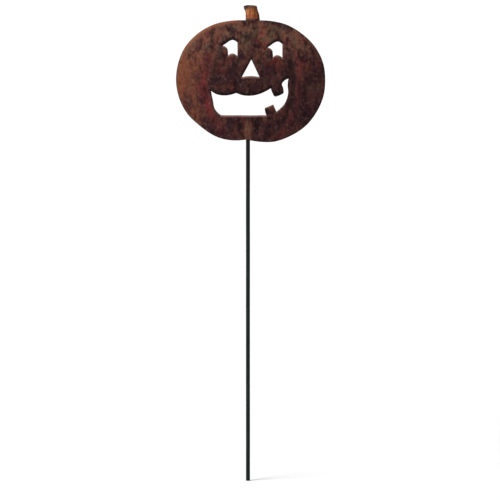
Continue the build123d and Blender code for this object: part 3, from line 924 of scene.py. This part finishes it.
# %% [markdown]
# ## Weld metal
# The beads were never painted. They are grey-brown with a bluish heat tint and soot, and rust has started
# in the valleys between the puddles.
# %% Heat-tinted steel
weld = Finish("weld_finish", Specular_IOR_Level=0.4)
blotch = patches(weld, 5 * MM, 5, 0.6, 0.4)
fine = patches(weld, 0.8 * MM, 3, 0.6)
STEEL, SOOT, RUST = linear(92, 88, 90), linear(38, 34, 38), linear(104, 60, 40)
colour = blend(weld, ease(weld, blotch, 0.35, 0.65), STEEL, SOOT)
colour = blend(weld, 0.8 * ease(weld, blotch + 0.6 * (fine - 0.5), 0.52, 0.66), colour, RUST)
weld.feed("Base Color", colour)
weld.feed("Metallic", ease(weld, blotch, 0.35, 0.62, 0.7, 0.05))
weld.feed("Roughness", ease(weld, fine, 0.3, 0.7, 0.42, 0.7))
weld.feed("Normal", relief(weld, fine, 0.12 * MM))
weld.tell("weld metal")

# %% [markdown]
# ## Handing the pieces to the frame
# Nothing on the stake moves against the rest, so every piece rides on the one body. Each piece hides the
# CAD node that it stands for and wears its finish, and a line is printed that names the node and the
# finish.
# %% Bodies, nodes and slots
worn = [
    (face_sheet, "pumpkin_face", "rusted_sheet", rust),
    (stem_tube, "pumpkin_stem", "rusted_stem", amber),
    (bar, "stake_bar", "painted_bar", paint),
] + [(bead, node, "weld", weld) for node, bead in beads.items()]
for piece, node, slot_name, finish in worn:
    piece.data.materials.append(finish.material)
    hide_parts(node)
    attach(piece, "root")
    print(f"{piece.name:16s} stands for {node:16s} and wears {slot_name}")

# %% [markdown]
# ## The floor and the light
# The stake is shown on its lower end on a plain white floor. A dim white sky fills the shadows, and one
# large soft light from the upper left gives the lobes their shape. The sky that the camera sees is brighter
# than the sky that lights the stake, so that the background stays white.
# %% A plain floor
FLOOR_Z, FLOOR_RADIUS, FLOOR_SIDES = cad_box[0].z, 60, 64
floor_mesh = bpy.data.meshes.new("floor")
directions = np.linspace(0, 2 * math.pi, FLOOR_SIDES + 1)[:-1]
floor_rim = [(FLOOR_RADIUS * math.cos(a), FLOOR_RADIUS * math.sin(a), FLOOR_Z) for a in directions]
floor_mesh.from_pydata(floor_rim, [], [tuple(range(FLOOR_SIDES))])
print("floor at", round(FLOOR_Z / MM), "mm,", FLOOR_RADIUS, "m to its edge")
floor = bpy.data.objects.new("floor", floor_mesh)
bpy.context.scene.collection.objects.link(floor)
white = Finish("floor_finish", Base_Color=(0.95, 0.95, 0.95, 1), Roughness=0.9, Specular_IOR_Level=0.0)
floor_mesh.materials.append(white.material)

# %% The sky
SKY_SEEN, SKY_LIGHT = 1.02, 0.42
world = bpy.data.worlds.new("white_sky")
world.use_nodes = True
sky = world.node_tree
seen, lit = sky.nodes["Background"], sky.nodes.new("ShaderNodeBackground")
seen.inputs["Color"].default_value = lit.inputs["Color"].default_value = (1, 1, 1, 1)
seen.inputs["Strength"].default_value, lit.inputs["Strength"].default_value = SKY_SEEN, SKY_LIGHT
print("the camera sees a sky of", SKY_SEEN, "and the stake is lit by one of", SKY_LIGHT)
either = sky.nodes.new("ShaderNodeMixShader")
sky.links.new(sky.nodes.new("ShaderNodeLightPath").outputs["Is Camera Ray"], either.inputs["Fac"])
sky.links.new(lit.outputs[0], either.inputs[1])
sky.links.new(seen.outputs[0], either.inputs[2])
sky.links.new(either.outputs[0], sky.nodes["World Output"].inputs["Surface"])
bpy.context.scene.world = world


# %% The soft light
def soft_light(name, toward, strength, spread):
    """An even light from one direction, as from a large diffuser. spread is its width in degrees."""
    lamp = bpy.data.lights.new(name, "SUN")
    lamp.energy, lamp.angle = strength, math.radians(spread)
    holder = bpy.data.objects.new(name, lamp)
    holder.rotation_euler = Vector(toward).to_track_quat("Z", "Y").to_euler()
    bpy.context.scene.collection.objects.link(holder)
    print(name, "comes down at", round(math.degrees(math.asin(Vector(toward).normalized().z))), "degrees")


soft_light("key_light", (-0.72, -0.50, 0.62), 3.7, 36)

# %% [markdown]
# ## The camera
# The stake is seen from the front and a little from above, through a very long lens, so that the pumpkin at
# its top is drawn to the same scale as its foot. The picture is a little taller than the stake.
# %% A long lens
ELEVATION = math.radians(7)
CAMERA_DISTANCE = 16.0
PICTURE_HEIGHT, AIM_HEIGHT = 1.0463, 0.4878  # in shares of the stake's height
AIM_RIGHT = 3.9 * MM
tall = cad_box[1].z - cad_box[0].z
camera = bpy.data.objects.new("camera", bpy.data.cameras.new("camera"))
bpy.context.scene.collection.objects.link(camera)
target = Vector((AIM_RIGHT, 0, cad_box[0].z + AIM_HEIGHT * tall))
camera.location = target + CAMERA_DISTANCE * Vector((0, -math.cos(ELEVATION), math.sin(ELEVATION)))
camera.rotation_euler = (target - camera.location).to_track_quat("-Z", "Y").to_euler()
camera.data.sensor_width = 36
camera.data.lens = camera.data.sensor_width * CAMERA_DISTANCE / (PICTURE_HEIGHT * tall)
bpy.context.scene.camera = camera
bpy.context.scene.view_settings.view_transform = "Standard"
print("lens", round(camera.data.lens), "mm")

# %% [markdown]
# ## The CAD box
# The finished pieces are meant to fill the same box as the CAD model, whose box is printed here.
# %% Print the CAD box
print("CAD box   ", [[round(v / MM, 1) for v in c] for c in cad_box])
